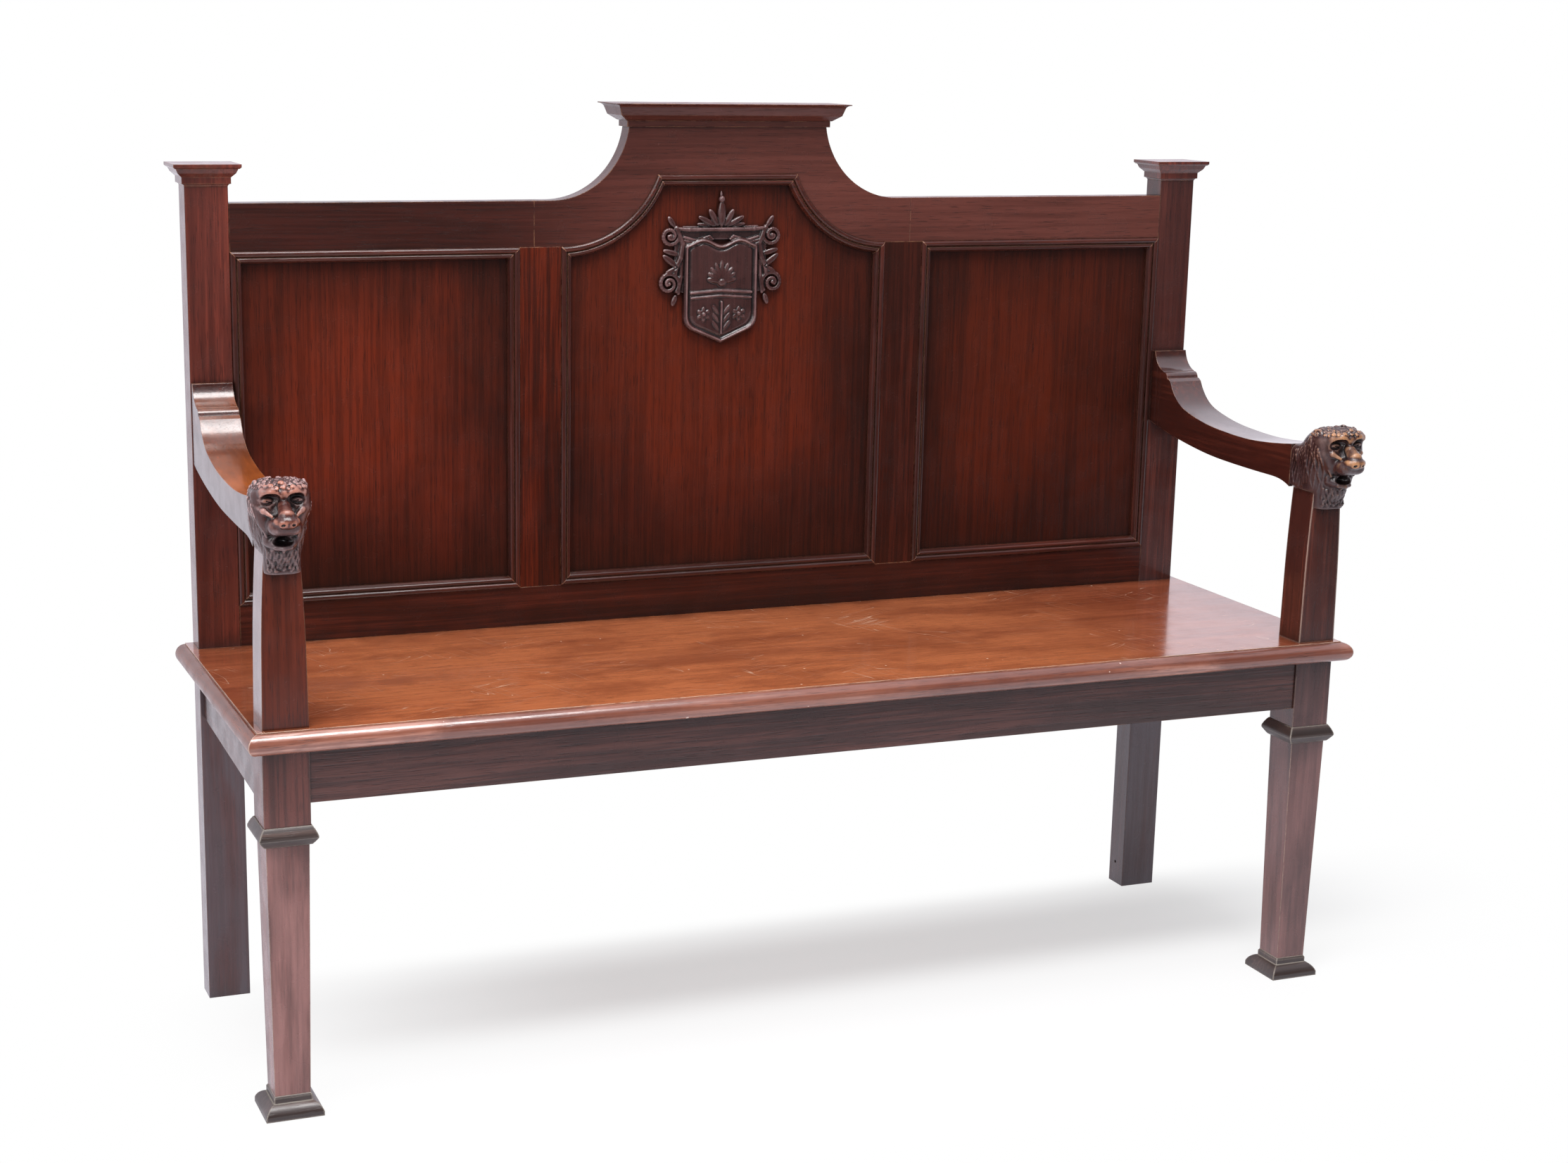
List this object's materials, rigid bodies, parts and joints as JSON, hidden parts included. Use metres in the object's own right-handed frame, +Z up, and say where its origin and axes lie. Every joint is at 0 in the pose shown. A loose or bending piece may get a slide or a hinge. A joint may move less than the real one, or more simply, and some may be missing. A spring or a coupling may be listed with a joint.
{
  "type": "hall bench",
  "caption": "Panelled mahogany hall bench with a shaped crest board, a carved shield, lion-head arms and tapered square legs.",
  "frame": {"origin": "on the floor, under the middle of the bench's bounding box", "axes": "+X along the bench, to the sitter's left; +Y towards the back; +Z up"},
  "size_m": [1.405, 0.4978, 1.101],
  "materials": {
    "panel_wood": "old french polish, glossy",
    "frame_wood": "old french polish, glossy",
    "moulding_wood": "old french polish, glossy",
    "post_wood": "old french polish, glossy",
    "seat_wood": "old french polish, glossy, worn and scratched",
    "leg_wood": "old french polish, glossy, scuffed",
    "arm_wood": "old french polish, glossy",
    "carved_wood": "old french polish, worn on the high places",
    "inner_wood": "unpolished, dull",
    "screw_steel": "dull"
  },
  "bodies": {
    "root": {"arm_left": "arm_wood", "arm_right": "arm_wood", "arm_support_left": "arm_wood", "arm_support_right": "arm_wood", "back_post_left": "post_wood", "back_post_right": "post_wood", "back_seat_rail": "inner_wood", "bottom_back_rail": "frame_wood", "centre_panel": "panel_wood", "centre_panel_moulding_bottom": "moulding_wood", "centre_panel_moulding_curve_left": "moulding_wood", "centre_panel_moulding_curve_right": "moulding_wood", "centre_panel_moulding_left": "moulding_wood", "centre_panel_moulding_right": "moulding_wood", "centre_panel_moulding_top": "moulding_wood", "corner_blocks": "inner_wood", "cornice_back": "frame_wood", "cornice_front": "frame_wood", "cornice_return_left": "frame_wood", "cornice_return_right": "frame_wood", "crest_rail": "frame_wood", "cross_bearer_left": "inner_wood", "cross_bearer_right": "inner_wood", "front_leg_left": "leg_wood", "front_leg_right": "leg_wood", "front_seat_rail": "leg_wood", "left_panel_moulding_bottom": "moulding_wood", "left_panel_moulding_left": "moulding_wood", "left_panel_moulding_right": "moulding_wood", "left_panel_moulding_top": "moulding_wood", "leg_collar_left": "leg_wood", "leg_collar_right": "leg_wood", "leg_foot_left": "leg_wood", "leg_foot_right": "leg_wood", "lion_head_left": "carved_wood", "lion_head_right": "carved_wood", "muntin_left": "frame_wood", "muntin_right": "frame_wood", "post_cap_left": "post_wood", "post_cap_right": "post_wood", "right_panel_moulding_bottom": "moulding_wood", "right_panel_moulding_left": "moulding_wood", "right_panel_moulding_right": "moulding_wood", "right_panel_moulding_top": "moulding_wood", "seat_board": "seat_wood", "seat_nosing_front": "seat_wood", "seat_nosing_left": "seat_wood", "seat_nosing_right": "seat_wood", "seat_screws": "screw_steel", "shield_cartouche": "carved_wood", "side_panel_left": "panel_wood", "side_panel_right": "panel_wood", "side_rail_left": "leg_wood", "side_rail_right": "leg_wood", "top_rail_left": "frame_wood", "top_rail_right": "frame_wood"}
  },
  "joints": []
}
